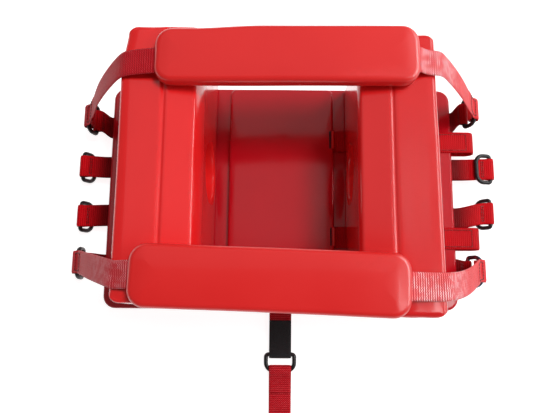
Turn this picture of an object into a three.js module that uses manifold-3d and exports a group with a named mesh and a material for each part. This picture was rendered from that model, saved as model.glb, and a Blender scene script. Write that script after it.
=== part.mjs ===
// Head immobiliser that straps to a spine board: a padded base board, two foam head blocks with
// through ear openings, forehead and chin pads on webbing legs, and D-rings for the webbing.
// Millimetres. +X runs across the board to the wearer's left, +Y to the crown of the head, +Z is
// up, and the origin is the middle of the board's underside.
import * as THREE from "three";
import { mergeVertices } from "three/addons/utils/BufferGeometryUtils.js";
import Module from "manifold-3d";

// ---------------------------------------------------------------- driving dimensions
const GAP = 0.3; // running gap that touching pieces keep

const BOARD_WIDTH = 400;
const BOARD_LENGTH = 260;
const BOARD_HEIGHT = 24;
const BOARD_CORNER = 14;
const BOARD_EDGE = 3;

const REST_WIDTH = 121; // raised headrest in the middle of the board
const REST_LENGTH = 255;
const REST_HEIGHT = 9.5;

const BLOCK_HEIGHT = 142;
const BLOCK_TOP_WIDTH = 71; // inner top edge to outer top edge
const BLOCK_CORNER = 8;
const BLOCK_DRAFT = 6; // how far the outer wall stands out at the foot
// bevel and bevelDrop are the width and height of the curve below the inner top edge, lean is how
// far the inner wall leans at the foot, and shift is the block's place along Y. drawnIn is how far
// its strap pulls its outer far corner in, and splay how far its outer near corner stands out.
const BLOCKS = [
  {
    side: -1,
    name: "left",
    length: 262,
    innerEdge: 82.8,
    bevel: 6,
    bevelDrop: 28,
    lean: -0.5,
    shift: 5.5,
    drawnIn: 5.5,
    splay: 0,
  },
  {
    side: 1,
    name: "right",
    length: 266,
    innerEdge: 72.3,
    bevel: 3,
    bevelDrop: 8,
    lean: 5,
    shift: -3,
    drawnIn: 0,
    splay: 2.6,
  },
];
const DRAWN_IN_FROM = 45; // where the outer wall starts to draw in, from the far end
const EAR_LENGTH = 64;
const EAR_HEIGHT = 84;
const EAR_CENTRE = 76; // above the board's underside
const EAR_Y = 13;

const LOOP_THICKNESS = 1.2; // hook-and-loop strips between board and blocks
const STRIPS = [
  { name: "far", y: [84, 120] },
  { name: "mid", y: [-30, 48] },
  { name: "near", y: [-118, -68] },
];

const PAD_LENGTH = 245;
const PAD_WIDTH = 56;
const PAD_HEIGHT = 17;
const PAD_CORNER = 16;
const PAD_EDGE = 5;
// legs is how far along Y each strap is sewn from the middle of the pad's end.
const PADS = [
  { name: "forehead", x: 3, y: 102, turn: 0.3, legs: { left: -5, right: -3 } },
  { name: "chin", x: -11.3, y: -105, turn: -2, legs: { left: 0, right: 0 } },
];

const WEBBING = 25; // width of every strap
const STRAP = 1.6; // thickness of every strap
const SEWN = 3.4; // thickness where a strap is folded back and sewn to itself

const WIRE = 2.4; // radius of the ring wire
const RING_HALF = 16; // half the ring's length, to the wire's middle
const RING_DEPTH = 18; // flat bar to bow, between wire middles
const BOW_CORNER = 9;
const BAR_CORNER = 3;
const BAR_EYE = 2.9; // radius inside a loop that holds a ring's flat bar
const BOW_EYE = 4.8; // radius inside a loop that holds a ring's bow

const TAB_Z = 19.5; // middle of the tabs, above the underside
// Ring tabs on each side, from the far end. bar is how far out the ring's flat bar lies, root and
// ring are the places along Y where the tab leaves the board and where its ring sits, and tilt is
// the rise of the bow seen outwards from the bar.
const TABS = {
  left: [
    { name: "far", bar: 219.8, root: 81, ring: 89.5, tilt: 75 },
    { name: "mid_far", bar: 232.3, root: 33, ring: 34, tilt: 242 },
    { name: "mid_near", bar: 231.8, root: -24, ring: -25, tilt: 242 },
    { name: "near", bar: 226, root: -82, ring: -80, tilt: 88 },
  ],
  right: [
    { name: "far", bar: 217.7, root: 90, ring: 101.5, tilt: 67 },
    { name: "mid_far", bar: 245.2, root: 33, ring: 34, tilt: 165 },
    { name: "mid_near", bar: 242.4, root: -25, ring: -18.5, tilt: 231 },
    { name: "near", bar: 213.8, root: -84, ring: -86, tilt: 55 },
  ],
};

const LEG_START_Z = 178;
const BOARD_STRAPS = [
  { name: "far", y: 65, end: 226.5 },
  { name: "near", y: -48.5, end: 228 },
];

const TAIL_BAR_Y = -180; // flat bar of the tail ring
const TAIL_RING_Z = 6.2;
const TAIL_LENGTH = 232; // tail webbing from the ring's bow to its free end

const BOARD_TOP = BOARD_HEIGHT;
const BLOCK_FOOT = BOARD_TOP + 3 * GAP + 2 * LOOP_THICKNESS;
const BLOCK_TOP = BLOCK_FOOT + BLOCK_HEIGHT;
const PAD_FOOT = BLOCK_TOP + 1.5;

// ---------------------------------------------------------------- solids
const wasm = await Module();
wasm.setup();

function solid(geometry) {
  const bare = geometry.index ? geometry.toNonIndexed() : geometry.clone();
  bare.deleteAttribute("normal");
  bare.deleteAttribute("uv");
  const merged = mergeVertices(bare, 1e-3);
  return new wasm.Manifold(
    new wasm.Mesh({
      numProp: 3,
      vertProperties: merged.attributes.position.array,
      triVerts: new Uint32Array(merged.index.array),
    }),
  );
}

function geometryOf(body) {
  const mesh = body.getMesh();
  const places = new Float32Array(mesh.numVert * 3);
  for (let i = 0; i < mesh.numVert; i++) {
    places.set(mesh.vertProperties.subarray(i * mesh.numProp, i * mesh.numProp + 3), i * 3);
  }
  const geometry = new THREE.BufferGeometry();
  geometry.setAttribute("position", new THREE.BufferAttribute(places, 3));
  geometry.setIndex(new THREE.BufferAttribute(mesh.triVerts, 1));
  geometry.computeVertexNormals();
  return geometry;
}

function box(width, length, height, x, y, z) {
  return solid(new THREE.BoxGeometry(width, length, height).translate(x, y, z));
}

// A rounded rectangle, counter-clockwise.
function roundedRectangle(width, length, radius) {
  const shape = new THREE.Shape();
  const x = width / 2 - radius;
  const y = length / 2 - radius;
  shape.absarc(x, y, radius, 0, Math.PI / 2);
  shape.absarc(-x, y, radius, Math.PI / 2, Math.PI);
  shape.absarc(-x, -y, radius, Math.PI, 1.5 * Math.PI);
  shape.absarc(x, -y, radius, 1.5 * Math.PI, 2 * Math.PI);
  return shape;
}

// A rounded slab that stands on z = 0, with its top and bottom edges eased.
function slab(width, length, height, corner, edge, steps = 2, arcs = 6) {
  const shape = roundedRectangle(width - 2 * edge, length - 2 * edge, corner - edge);
  return new THREE.ExtrudeGeometry(shape, {
    depth: height - 2 * edge,
    bevelThickness: edge,
    bevelSize: edge,
    bevelSegments: steps,
    curveSegments: arcs,
  }).translate(0, 0, edge);
}

// Extrudes a profile drawn in X and Z along Y, centred on Y = 0.
function alongY(shape, length, arcs = 8) {
  const made = new THREE.ExtrudeGeometry(shape, {
    depth: length,
    bevelEnabled: false,
    curveSegments: arcs,
  });
  return made.rotateX(Math.PI / 2).translate(0, length / 2, 0);
}

// Puts a piece drawn on the right-hand side where it belongs, mirrored for the left.
function place(geometry, side, y) {
  if (side > 0) return geometry.translate(0, y, 0);
  const turned = geometry.index.array;
  geometry.scale(-1, 1, 1);
  for (let i = 0; i < turned.length; i += 3) {
    [turned[i + 1], turned[i + 2]] = [turned[i + 2], turned[i + 1]];
  }
  return geometry.translate(0, y, 0);
}

const group = new THREE.Group();

function add(name, geometry, colour, roughness, metalness = 0) {
  const material = new THREE.MeshStandardMaterial({ color: colour, roughness, metalness });
  const mesh = new THREE.Mesh(geometry, material);
  mesh.name = name;
  group.add(mesh);
  return mesh;
}

const VINYL = 0xd02626;
const BOARD_VINYL = 0xa81420;
const WEBBING_RED = 0xb4161f;
const BLACK = 0x141416;

// ---------------------------------------------------------------- straps
// A strap centred on Y = 0 along a centreline of [x, z] points, double from the point numbered
// sewnFrom on. drift moves each cross-section along Y by an amount that depends on its X.
function band(line, sewnFrom = line.length, drift = () => 0) {
  const places = [];
  const faces = [];
  line.forEach(([x, z], i) => {
    const [ax, az] = line[Math.max(i - 1, 0)];
    const [bx, bz] = line[Math.min(i + 1, line.length - 1)];
    const thickness = i < sewnFrom ? STRAP : SEWN;
    const half = thickness / 2 / Math.hypot(bx - ax, bz - az);
    const nx = (az - bz) * half;
    const nz = (bx - ax) * half;
    const near = drift(x) - WEBBING / 2;
    const far = drift(x) + WEBBING / 2;
    places.push(x + nx, near, z + nz, x + nx, far, z + nz);
    places.push(x - nx, far, z - nz, x - nx, near, z - nz);
  });
  for (let i = 0; i + 1 < line.length; i++) {
    for (let k = 0; k < 4; k++) {
      const here = 4 * i;
      const next = here + 4;
      const k2 = (k + 1) % 4;
      faces.push(here + k, next + k, next + k2, here + k, next + k2, here + k2);
    }
  }
  const last = 4 * (line.length - 1);
  faces.push(0, 1, 2, 0, 2, 3, last, last + 2, last + 1, last, last + 3, last + 2);
  const geometry = new THREE.BufferGeometry();
  geometry.setAttribute("position", new THREE.Float32BufferAttribute(places, 3));
  geometry.setIndex(faces);
  return geometry;
}

// A smooth line through a few [x, z] points.
function smooth(points, count) {
  const curve = new THREE.CatmullRomCurve3(
    points.map(([x, z]) => new THREE.Vector3(x, 0, z)),
    false,
    "centripetal",
  );
  return curve.getSpacedPoints(count).map((p) => [p.x, p.z]);
}

function disc(radius, x, z, length, arcs = 20) {
  return new THREE.CylinderGeometry(radius, radius, length, arcs).translate(x, 0, z);
}

// A strap along a line that ends in a loop round a wire: the last stretch, sewn long, is folded
// back on itself, and the loop's eye is centred on the line's last point. drift moves it along Y.
function loopedStrap(line, eye, sewn, drift = () => 0) {
  const end = line[line.length - 1];
  let from = line.length - 1;
  let run = 0;
  while (from > 0 && run < sewn) {
    run += Math.hypot(line[from][0] - line[from - 1][0], line[from][1] - line[from - 1][1]);
    from -= 1;
  }
  const [x, z] = end;
  const strap = solid(band(line, from, drift));
  const loop = solid(disc(eye + STRAP, x, z, WEBBING - 0.4));
  const hollow = solid(disc(eye, x, z, WEBBING + 4));
  return geometryOf(strap.add(loop).subtract(hollow));
}

// ---------------------------------------------------------------- rings
// The ring's wire line in its own plane: u runs from the flat bar to the bow, v along the bar.
function ringLine() {
  const path = new THREE.Path();
  path.moveTo(0, 0);
  path.lineTo(0, RING_HALF - BAR_CORNER);
  path.absarc(BAR_CORNER, RING_HALF - BAR_CORNER, BAR_CORNER, Math.PI, Math.PI / 2, true);
  path.lineTo(RING_DEPTH - BOW_CORNER, RING_HALF);
  path.absarc(RING_DEPTH - BOW_CORNER, RING_HALF - BOW_CORNER, BOW_CORNER, Math.PI / 2, 0, true);
  path.lineTo(RING_DEPTH, 0);
  const half = path.getPoints(3);
  const other = half.slice(1, -1).map((p) => new THREE.Vector2(p.x, -p.y));
  return [...half, ...other.reverse()];
}

// A closed wire of round section round the ring line, with its bar at the origin along Y and its
// bow towards +X.
function ringGeometry() {
  const line = ringLine();
  const sides = 8;
  const places = [];
  const faces = [];
  line.forEach((p, i) => {
    const a = line[(i + line.length - 1) % line.length];
    const b = line[(i + 1) % line.length];
    const along = new THREE.Vector2(b.x - a.x, b.y - a.y).normalize();
    for (let k = 0; k < sides; k++) {
      const turn = (k / sides) * 2 * Math.PI;
      const out = WIRE * Math.cos(turn);
      places.push(p.x + along.y * out, p.y - along.x * out, WIRE * Math.sin(turn));
      const next = ((i + 1) % line.length) * sides;
      const here = i * sides;
      const k2 = (k + 1) % sides;
      faces.push(here + k, next + k2, here + k2, here + k, next + k, next + k2);
    }
  });
  const geometry = new THREE.BufferGeometry();
  geometry.setAttribute("position", new THREE.Float32BufferAttribute(places, 3));
  geometry.setIndex(faces);
  return geometry;
}

// ---------------------------------------------------------------- base board
function pocket(side, y, z, depth) {
  const x = side * (BOARD_WIDTH / 2 - depth / 2 + 2);
  return box(depth + 4, WEBBING + 5, 4.4, x, y, z);
}

function baseBoard() {
  let board = solid(slab(BOARD_WIDTH, BOARD_LENGTH, BOARD_HEIGHT, BOARD_CORNER, BOARD_EDGE));
  for (const [name, tabs] of Object.entries(TABS)) {
    const side = name === "left" ? -1 : 1;
    for (const tab of tabs) board = board.subtract(pocket(side, tab.root, TAB_Z, 13));
  }
  for (const strap of BOARD_STRAPS) board = board.subtract(pocket(1, strap.y, 9, 13));
  const mouth = box(WEBBING + 3, 16, 2.8, 0, -BOARD_LENGTH / 2 + 6, 12);
  return geometryOf(board.subtract(mouth));
}
add("base_board", baseBoard(), BOARD_VINYL, 0.25);

function headrest() {
  let rest = solid(
    slab(REST_WIDTH, REST_LENGTH, REST_HEIGHT, 7, 2.5).translate(0, 0.5, BOARD_TOP + GAP),
  );
  for (const strap of BOARD_STRAPS) {
    const z = BOARD_TOP + 1.5;
    rest = rest.subtract(box(16, WEBBING + 2.4, 3, REST_WIDTH / 2 - 2, strap.y, z));
  }
  return geometryOf(rest);
}
add("headrest_pad", headrest(), BOARD_VINYL, 0.2);

// ---------------------------------------------------------------- hook-and-loop strips
function addStrips(block) {
  const inner = block.innerEdge - block.bevel + Math.max(block.lean, 0) + 6;
  const width = BLOCK_TOP_WIDTH - 8;
  for (const strip of STRIPS) {
    const length = strip.y[1] - strip.y[0];
    const x = block.side * (inner + width / 2);
    const y = (strip.y[0] + strip.y[1]) / 2;
    const low = BOARD_TOP + GAP + LOOP_THICKNESS / 2;
    const high = low + LOOP_THICKNESS + GAP;
    const loop = new THREE.BoxGeometry(width, length, LOOP_THICKNESS).translate(x, y, low);
    const hook = new THREE.BoxGeometry(width, length, LOOP_THICKNESS).translate(x, y, high);
    add(`${block.name}_loop_strip_${strip.name}`, loop, BLACK, 0.95);
    add(`${block.name}_hook_strip_${strip.name}`, hook, BLACK, 0.95);
  }
}

// ---------------------------------------------------------------- head blocks
// The block's top, in X outward from the patient and Z up: a curve down to the inner wall, a
// shallow ridge and an outer bevel. Its two sides stand clear of the walls.
function blockProfile(block) {
  const clear = 20;
  const steep = 6;
  const edge = block.innerEdge;
  const outer = edge + BLOCK_TOP_WIDTH;
  const shoulder = BLOCK_TOP - 4;
  const foot = shoulder - block.bevelDrop;
  const curve = [1, 0.7, 0.35].map((share) => [
    edge - block.bevel * (1 - (1 - share) ** 2),
    shoulder - block.bevelDrop * share,
  ]);
  const points = [
    [edge - clear, BLOCK_FOOT],
    [edge - clear, foot - (clear - block.bevel) * steep],
    ...curve,
    [edge + 1.2, shoulder + 0.2],
    [edge + 0.41 * BLOCK_TOP_WIDTH, BLOCK_TOP],
    [edge + 0.87 * BLOCK_TOP_WIDTH, BLOCK_TOP - 3],
    [outer - 3, BLOCK_TOP - 5.5],
    [outer - 0.6, BLOCK_TOP - 8],
    [outer + clear, BLOCK_TOP - 70],
    [outer + clear, BLOCK_FOOT],
  ];
  return new THREE.Shape(points.map(([x, z]) => new THREE.Vector2(x, z)));
}

// The block's walls: a plan with rounded corners whose outer side is drawn in at the far end,
// with draft on the outer wall and a slight lean on the inner one.
function blockWalls(block) {
  const inner = block.innerEdge - block.bevel;
  const outer = block.innerEdge + BLOCK_TOP_WIDTH;
  const half = block.length / 2;
  const r = BLOCK_CORNER;
  const plan = new THREE.Shape();
  plan.absarc(inner + r, -half + r, r, Math.PI, 1.5 * Math.PI);
  plan.absarc(outer - r, -half + r, r, 1.5 * Math.PI, 2 * Math.PI);
  plan.lineTo(outer, half - DRAWN_IN_FROM);
  plan.absarc(outer - block.drawnIn - r, half - r, r, 0, Math.PI / 2);
  plan.absarc(inner + r, half - r, r, Math.PI / 2, Math.PI);
  const height = BLOCK_HEIGHT + 10;
  const walls = new THREE.ExtrudeGeometry(plan, {
    depth: height,
    bevelEnabled: false,
    curveSegments: 6,
  });
  const point = walls.attributes.position;
  for (let i = 0; i < point.count; i++) {
    const low = 1 - point.getZ(i) / height;
    const share = (point.getX(i) - inner) / (outer - inner);
    point.setX(i, point.getX(i) + low * (share * BLOCK_DRAFT + (1 - share) * block.lean));
  }
  return walls.translate(0, 0, BLOCK_FOOT);
}

// Stands the outer wall out towards the near end.
function splayed(geometry, block) {
  const point = geometry.attributes.position;
  for (let i = 0; i < point.count; i++) {
    const share = (point.getX(i) - block.innerEdge) / BLOCK_TOP_WIDTH;
    const near = 0.5 - point.getY(i) / block.length;
    point.setX(i, point.getX(i) + block.splay * Math.max(share, 0) * near);
  }
  return geometry;
}

function headBlock(block) {
  const top = alongY(blockProfile(block), block.length + 10);
  const ear = new THREE.CylinderGeometry(0.5, 0.5, 160, 36)
    .rotateZ(Math.PI / 2)
    .scale(1, EAR_LENGTH, EAR_HEIGHT)
    .translate(block.innerEdge + BLOCK_TOP_WIDTH / 2, EAR_Y - block.shift, EAR_CENTRE);
  const whole = solid(blockWalls(block)).intersect(solid(top)).subtract(solid(ear));
  return place(splayed(geometryOf(whole), block), block.side, block.shift);
}

for (const block of BLOCKS) {
  addStrips(block);
  add(`${block.name}_head_block`, headBlock(block), VINYL, 0.3);
}

// ---------------------------------------------------------------- pads
for (const pad of PADS) {
  const geometry = slab(PAD_LENGTH, PAD_WIDTH, PAD_HEIGHT, PAD_CORNER, PAD_EDGE, 3, 6)
    .rotateZ((pad.turn * Math.PI) / 180)
    .translate(pad.x, pad.y, PAD_FOOT);
  add(`${pad.name}_pad`, geometry, VINYL, 0.35);
}

// ---------------------------------------------------------------- ring tabs, rings and legs
function tabGeometry(side, tab) {
  const start = BOARD_WIDTH / 2 - 10;
  const line = [[start, TAB_Z]];
  for (let x = BOARD_WIDTH / 2; x < tab.bar - 3; x += 2.5) line.push([x, TAB_Z]);
  line.push([tab.bar, TAB_Z]);
  const drift = (x) => {
    const share = THREE.MathUtils.smoothstep(x, BOARD_WIDTH / 2, tab.bar - 4);
    return (tab.root - tab.ring) * (1 - share);
  };
  return place(loopedStrap(line, BAR_EYE, 400, drift), side, tab.ring);
}

function ringPlaced(side, tab) {
  const made = ringGeometry().rotateY((-tab.tilt * Math.PI) / 180);
  return place(made.translate(tab.bar, 0, TAB_Z), side, tab.ring);
}

// A webbing leg from the end of a pad, over the block's outer edge and down to its ring's bow.
function legGeometry(side, pad, tab) {
  const turn = (pad.turn * Math.PI) / 180;
  const block = BLOCKS[side < 0 ? 0 : 1];
  const corners = (WEBBING / 2 + 5) * Math.abs(Math.sin(turn));
  const start = PAD_LENGTH / 2 + 2 * GAP + corners + side * pad.x;
  const padY = pad.y + pad.legs[block.name] + side * Math.sin(turn) * (PAD_LENGTH / 2);
  const corner = block.innerEdge + BLOCK_TOP_WIDTH;
  const tilt = (tab.tilt * Math.PI) / 180;
  const bowX = tab.bar + (RING_DEPTH - 1.1) * Math.cos(tilt);
  const bowZ = TAB_Z + (RING_DEPTH - 1.1) * Math.sin(tilt);
  const over = [corner + 2 + 3 * side, BLOCK_TOP - 2];
  const between = (share, bulge) => [
    over[0] + (bowX - over[0]) * share + bulge,
    over[1] + (bowZ - over[1]) * share + bulge,
  ];
  const line = smooth(
    [
      [start, LEG_START_Z],
      [corner - 9, BLOCK_TOP + 2.6],
      over,
      between(0.14, 2.3 - 0.3 * side),
      between(0.5, 3.7 - 0.7 * side),
      between(0.85, 1.5),
      [bowX, bowZ],
    ],
    30,
  );
  const drift = (x) => {
    const share = THREE.MathUtils.clamp((x - corner + 4) / (bowX - corner), 0, 1);
    return (padY - tab.ring) * (1 - share);
  };
  return place(loopedStrap(line, BOW_EYE, 26, drift), side, tab.ring);
}

for (const [name, tabs] of Object.entries(TABS)) {
  const side = name === "left" ? -1 : 1;
  for (const tab of tabs) {
    add(`${name}_tab_${tab.name}`, tabGeometry(side, tab), WEBBING_RED, 0.7);
    const nickel = name === "right" && tab.name === "near";
    const colour = nickel ? 0xb8bcc4 : BLACK;
    add(`${name}_ring_${tab.name}`, ringPlaced(side, tab), colour, 0.25, nickel ? 1 : 0);
  }
  add(`${name}_forehead_strap`, legGeometry(side, PADS[0], tabs[0]), WEBBING_RED, 0.7);
  add(`${name}_chin_strap`, legGeometry(side, PADS[1], tabs[3]), WEBBING_RED, 0.7);
}

// ---------------------------------------------------------------- board straps
// Each comes out of a slit in the headrest, runs under the right block, turns over past the
// board's edge and goes back into the board's side.
function boardStrap(strap) {
  const top = BOARD_TOP + GAP + STRAP / 2 + 0.1;
  const low = 9;
  const edge = BOARD_WIDTH / 2;
  const radius = (top - low) / 2;
  const line = [[REST_WIDTH / 2 - 7, top]];
  for (let x = 70; x <= edge; x += 26) line.push([x, top]);
  const bend = strap.end - radius;
  line.push([bend, top]);
  const steps = 8;
  for (let i = 1; i < steps; i++) {
    const turn = (i / steps) * Math.PI;
    line.push([bend + radius * Math.sin(turn), (top + low) / 2 + radius * Math.cos(turn)]);
  }
  line.push([bend, low], [edge - 10, low]);
  return band(line).translate(0, strap.y, 0);
}
for (const strap of BOARD_STRAPS) {
  add(`board_strap_${strap.name}`, boardStrap(strap), WEBBING_RED, 0.7);
}

// ---------------------------------------------------------------- tail
// The tail is drawn along +X and then turned to run along -Y.
function towardsTail(geometry) {
  return geometry.rotateZ(-Math.PI / 2);
}

const tailBar = -TAIL_BAR_Y;
const tailBow = tailBar + RING_DEPTH - 1.1;
const tabEnd = BOARD_LENGTH / 2 + 12;

function tailTab() {
  const line = [
    [BOARD_LENGTH / 2 - 1, 12],
    [BOARD_LENGTH / 2 + 3, 11.8],
    [tabEnd, 9.6],
  ];
  return towardsTail(band(line));
}
add("tail_tab", tailTab(), WEBBING_RED, 0.7);

function tailHookStrap() {
  const line = [
    [tabEnd + GAP, 9.2],
    [tabEnd + 14, 6.9],
    [tailBar - 12, TAIL_RING_Z],
    [tailBar, TAIL_RING_Z],
  ];
  return towardsTail(loopedStrap(line, BAR_EYE, 400));
}
add("tail_hook_strap", tailHookStrap(), BLACK, 0.95);

const tailRing = towardsTail(ringGeometry().translate(tailBar, 0, TAIL_RING_Z));
add("tail_ring", tailRing, BLACK, 0.25);

function tailWebbing() {
  const line = smooth(
    [
      [tailBow + TAIL_LENGTH, 1.1],
      [tailBow + 120, 1.1],
      [tailBow + 50, 1.1],
      [tailBow + 36, 1.9],
      [tailBow + 14, TAIL_RING_Z - 1],
      [tailBow, TAIL_RING_Z],
    ],
    36,
  );
  return towardsTail(loopedStrap(line, BOW_EYE, 26));
}
add("tail_webbing", tailWebbing(), WEBBING_RED, 0.7);

export default group;
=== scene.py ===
"""Visual model of a head immobiliser for a spine board: vinyl-coated foam blocks and pads, webbing
straps and D-rings. Metres, in the CAD model's frame: +X across the board, +Y to the crown, +Z up."""

import math

import bmesh
import bpy
import numpy as np
from mathutils import Matrix, Vector, noise


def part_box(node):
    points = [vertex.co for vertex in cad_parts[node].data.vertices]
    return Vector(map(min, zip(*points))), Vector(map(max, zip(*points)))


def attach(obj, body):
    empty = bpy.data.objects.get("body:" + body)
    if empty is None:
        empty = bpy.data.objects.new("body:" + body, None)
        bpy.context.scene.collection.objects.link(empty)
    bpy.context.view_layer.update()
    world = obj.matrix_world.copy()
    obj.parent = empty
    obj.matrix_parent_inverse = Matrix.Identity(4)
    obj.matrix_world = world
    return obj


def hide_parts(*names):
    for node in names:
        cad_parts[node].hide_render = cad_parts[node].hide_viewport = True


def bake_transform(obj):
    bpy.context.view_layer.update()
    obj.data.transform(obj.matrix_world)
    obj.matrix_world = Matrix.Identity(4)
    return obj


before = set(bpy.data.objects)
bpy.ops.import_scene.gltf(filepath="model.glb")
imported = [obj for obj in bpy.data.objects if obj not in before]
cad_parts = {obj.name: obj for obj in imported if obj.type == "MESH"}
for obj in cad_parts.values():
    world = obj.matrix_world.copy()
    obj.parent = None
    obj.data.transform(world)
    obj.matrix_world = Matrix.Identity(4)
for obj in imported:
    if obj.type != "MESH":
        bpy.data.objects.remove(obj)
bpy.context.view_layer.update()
scene = bpy.context.scene
noise.seed_set(1)  # noise_vector takes its offsets from the clock unless a seed is set

# ---------------------------------------------------------------- driving dimensions
WEBBING = 0.025  # width of every strap
STRAP = 0.0016  # thickness of every strap
LAYERS = 0.0018  # middle of one layer to the middle of the next where a strap is folded on itself
WIRE = 0.0024  # radius of the ring wire
RING_HALF = 0.016
RING_DEPTH = 0.018
BOW_CORNER = 0.009
BAR_CORNER = 0.003
TAB_Z = 0.0195  # middle of a tab, where it leaves the board's edge
ROOT = 0.008  # how far the tabs and the board straps go into the board's edge
FOLD = 0.026  # length of a strap that is folded back from its ring and sewn
FOLD_EASE = 0.012  # length over which the strap comes down to one layer past the fold's end
BAR_EYE = 0.0029  # radius inside a loop that holds a ring's flat bar
BOW_EYE = 0.0048  # radius inside a pad strap's loop, which lets its ring's bow swing a little
BOW_DROP = 0.0016  # how far a pad strap's loop sits below the middle of the bow's wire
BOW_IN = 0.0006  # how much nearer the board than the bow's wire it sits
TAIL_EYE = 0.0040  # radius inside the tail's loop
TAIL_BOW_IN = 0.0011  # how much nearer the board than the bow's wire that loop sits
WEAVE_PITCH = 0.00115  # one thread of the webbing to the next
STITCH_RADIUS = 0.00042
STITCH_PITCH = 0.0034
STITCH_GAP = 0.075  # share of the pitch left open at each end of a stitch
STITCHES_ACROSS = 6
SELVEDGE = 0.0025  # how far the stitches stay from a strap's edges across it
SEAM = 0.0095  # distance of the long seams from a strap's middle

BOARD_LOW, BOARD_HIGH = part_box("base_board")
BOARD_EDGE_X = BOARD_HIGH.x
BOARD_TOP = BOARD_HIGH.z
BOARD_CORNER = 0.014
HEADREST_CORNER = 0.007
HEADREST_DROOP = 0.0034  # how much lower its far end is
HEADREST_DROOP_FROM = 0.045

BLOCK_TOP_WIDTH = 0.071
BLOCK_DRAFT = 0.006
DRAFT_HEIGHT = 0.152  # height over which the walls lean
DRAWN_IN_FROM = 0.045
EAR_LENGTH = 0.064
EAR_HEIGHT = 0.084
EAR_Z = 0.076
EAR_Y = 0.013
EAR_RIM = 0.0035  # radius of the ear hole's rounded mouths
CREASE = (0.37, 0.41, 0.45)  # the fold along a block's top, in shares of its width
CREASE_DEPTH = 0.0019
# edge is the inner top edge, bevel and drop the width and height of the curve below it, lean how far
# the inner wall leans at the foot, shift the block's place along Y, drawn how far its strap pulls the
# outer far corner in, splay how far its outer near corner stands out, and outer how steeply its top
# falls to the outer edge.
BLOCKS = {
    "left": {"length": 0.262, "edge": 0.0828, "bevel": 0.006, "drop": 0.028,
             "lean": -0.0005, "shift": 0.0055, "drawn": 0.0055, "splay": 0.0, "outer": 0.8},
    "right": {"length": 0.266, "edge": 0.0723, "bevel": 0.003, "drop": 0.008,
              "lean": 0.005, "shift": -0.003, "drawn": 0.0, "splay": 0.0026, "outer": 0.5},
}

# legs is how far along Y each strap is sewn from the middle of the pad's end, late how much of its
# way along Y it makes low down, and pinch how much narrower the pad is at its left end.
PADS = {
    "forehead": {"x": 0.003, "y": 0.102, "turn": math.radians(0.3), "pinch": 0.003,
                 "legs": {"left": -0.005, "right": -0.003}, "late": {"left": 1.0, "right": 1.0}},
    "chin": {"x": -0.0113, "y": -0.105, "turn": math.radians(-2), "pinch": 0.0,
             "legs": {"left": 0.0, "right": 0.0}, "late": {"left": 1.0, "right": 1.8}},
}
PAD_LENGTH = 0.245
PAD_WIDTH = 0.056
PAD_CORNER = 0.016

# bar is the distance of the ring's flat bar from the middle of the board, root and ring the tab's
# place along Y at the board's edge and at the ring, and tilt how far the ring stands up, in degrees.
TABS = {
    "left": {
        "far": {"bar": 0.2198, "root": 0.081, "ring": 0.0895, "tilt": 75},
        "mid_far": {"bar": 0.2323, "root": 0.033, "ring": 0.034, "tilt": 242},
        "mid_near": {"bar": 0.2318, "root": -0.024, "ring": -0.025, "tilt": 242},
        "near": {"bar": 0.226, "root": -0.082, "ring": -0.080, "tilt": 88},
    },
    "right": {
        "far": {"bar": 0.2177, "root": 0.090, "ring": 0.1015, "tilt": 67},
        "mid_far": {"bar": 0.2452, "root": 0.033, "ring": 0.034, "tilt": 165},
        "mid_near": {"bar": 0.2424, "root": -0.025, "ring": -0.0185, "tilt": 231},
        "near": {"bar": 0.2138, "root": -0.084, "ring": -0.086, "tilt": 55},
    },
}
BOARD_STRAPS = {"far": {"y": 0.065, "end": 0.2265}, "near": {"y": -0.0485, "end": 0.228}}
BOARD_STRAP_Z = (0.009, BOARD_TOP + 0.0012)  # middle of its lower and its upper run
BOARD_STRAP_SEAM = (0.002, 0.034)  # the sewn part's two ends, back from where the upper run ends
TAIL_BAR = 0.180  # distance of the tail ring's flat bar from the middle of the board
TAIL_Z = 0.0062
TAIL_LENGTH = 0.232
TAIL_FLOOR = 0.0011  # middle of the tail webbing where it lies flat

# ---------------------------------------------------------------- camera, floor and light
CAMERA_FOCAL = 580 / 550  # focal length as a share of the picture's width
CAMERA_ELEVATION = math.radians(79.94)
CAMERA_ROLL = math.radians(0.466)
CAMERA_PLACE = Vector((-0.0071, -0.1298, 0.6833))
WINDOW_PLACE = (1.1, 0.3, 0.72)
WINDOW_TARGET = (0, 0.1, 0.1)


def add_camera():
    data = bpy.data.cameras.new("camera")
    data.sensor_width = 36
    data.lens = CAMERA_FOCAL * data.sensor_width
    camera = bpy.data.objects.new("camera", data)
    scene.collection.objects.link(camera)
    forward = Vector((0, math.cos(CAMERA_ELEVATION), -math.sin(CAMERA_ELEVATION)))
    up = Vector((0, math.sin(CAMERA_ELEVATION), math.cos(CAMERA_ELEVATION)))
    right = Vector((1, 0, 0))
    turned_right = math.cos(CAMERA_ROLL) * right + math.sin(CAMERA_ROLL) * up
    turned_up = math.cos(CAMERA_ROLL) * up - math.sin(CAMERA_ROLL) * right
    matrix = Matrix((turned_right, turned_up, -forward)).transposed().to_4x4()
    matrix.translation = CAMERA_PLACE
    camera.matrix_world = matrix
    scene.camera = camera


def add_area_light(name, place, target, size, power):
    data = bpy.data.lights.new(name, "AREA")
    data.shape = "RECTANGLE"
    data.size, data.size_y = size
    data.energy = power
    light = bpy.data.objects.new(name, data)
    scene.collection.objects.link(light)
    light.location = place
    light.rotation_euler = (Vector(target) - Vector(place)).to_track_quat("-Z", "Y").to_euler()
    return light


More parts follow.
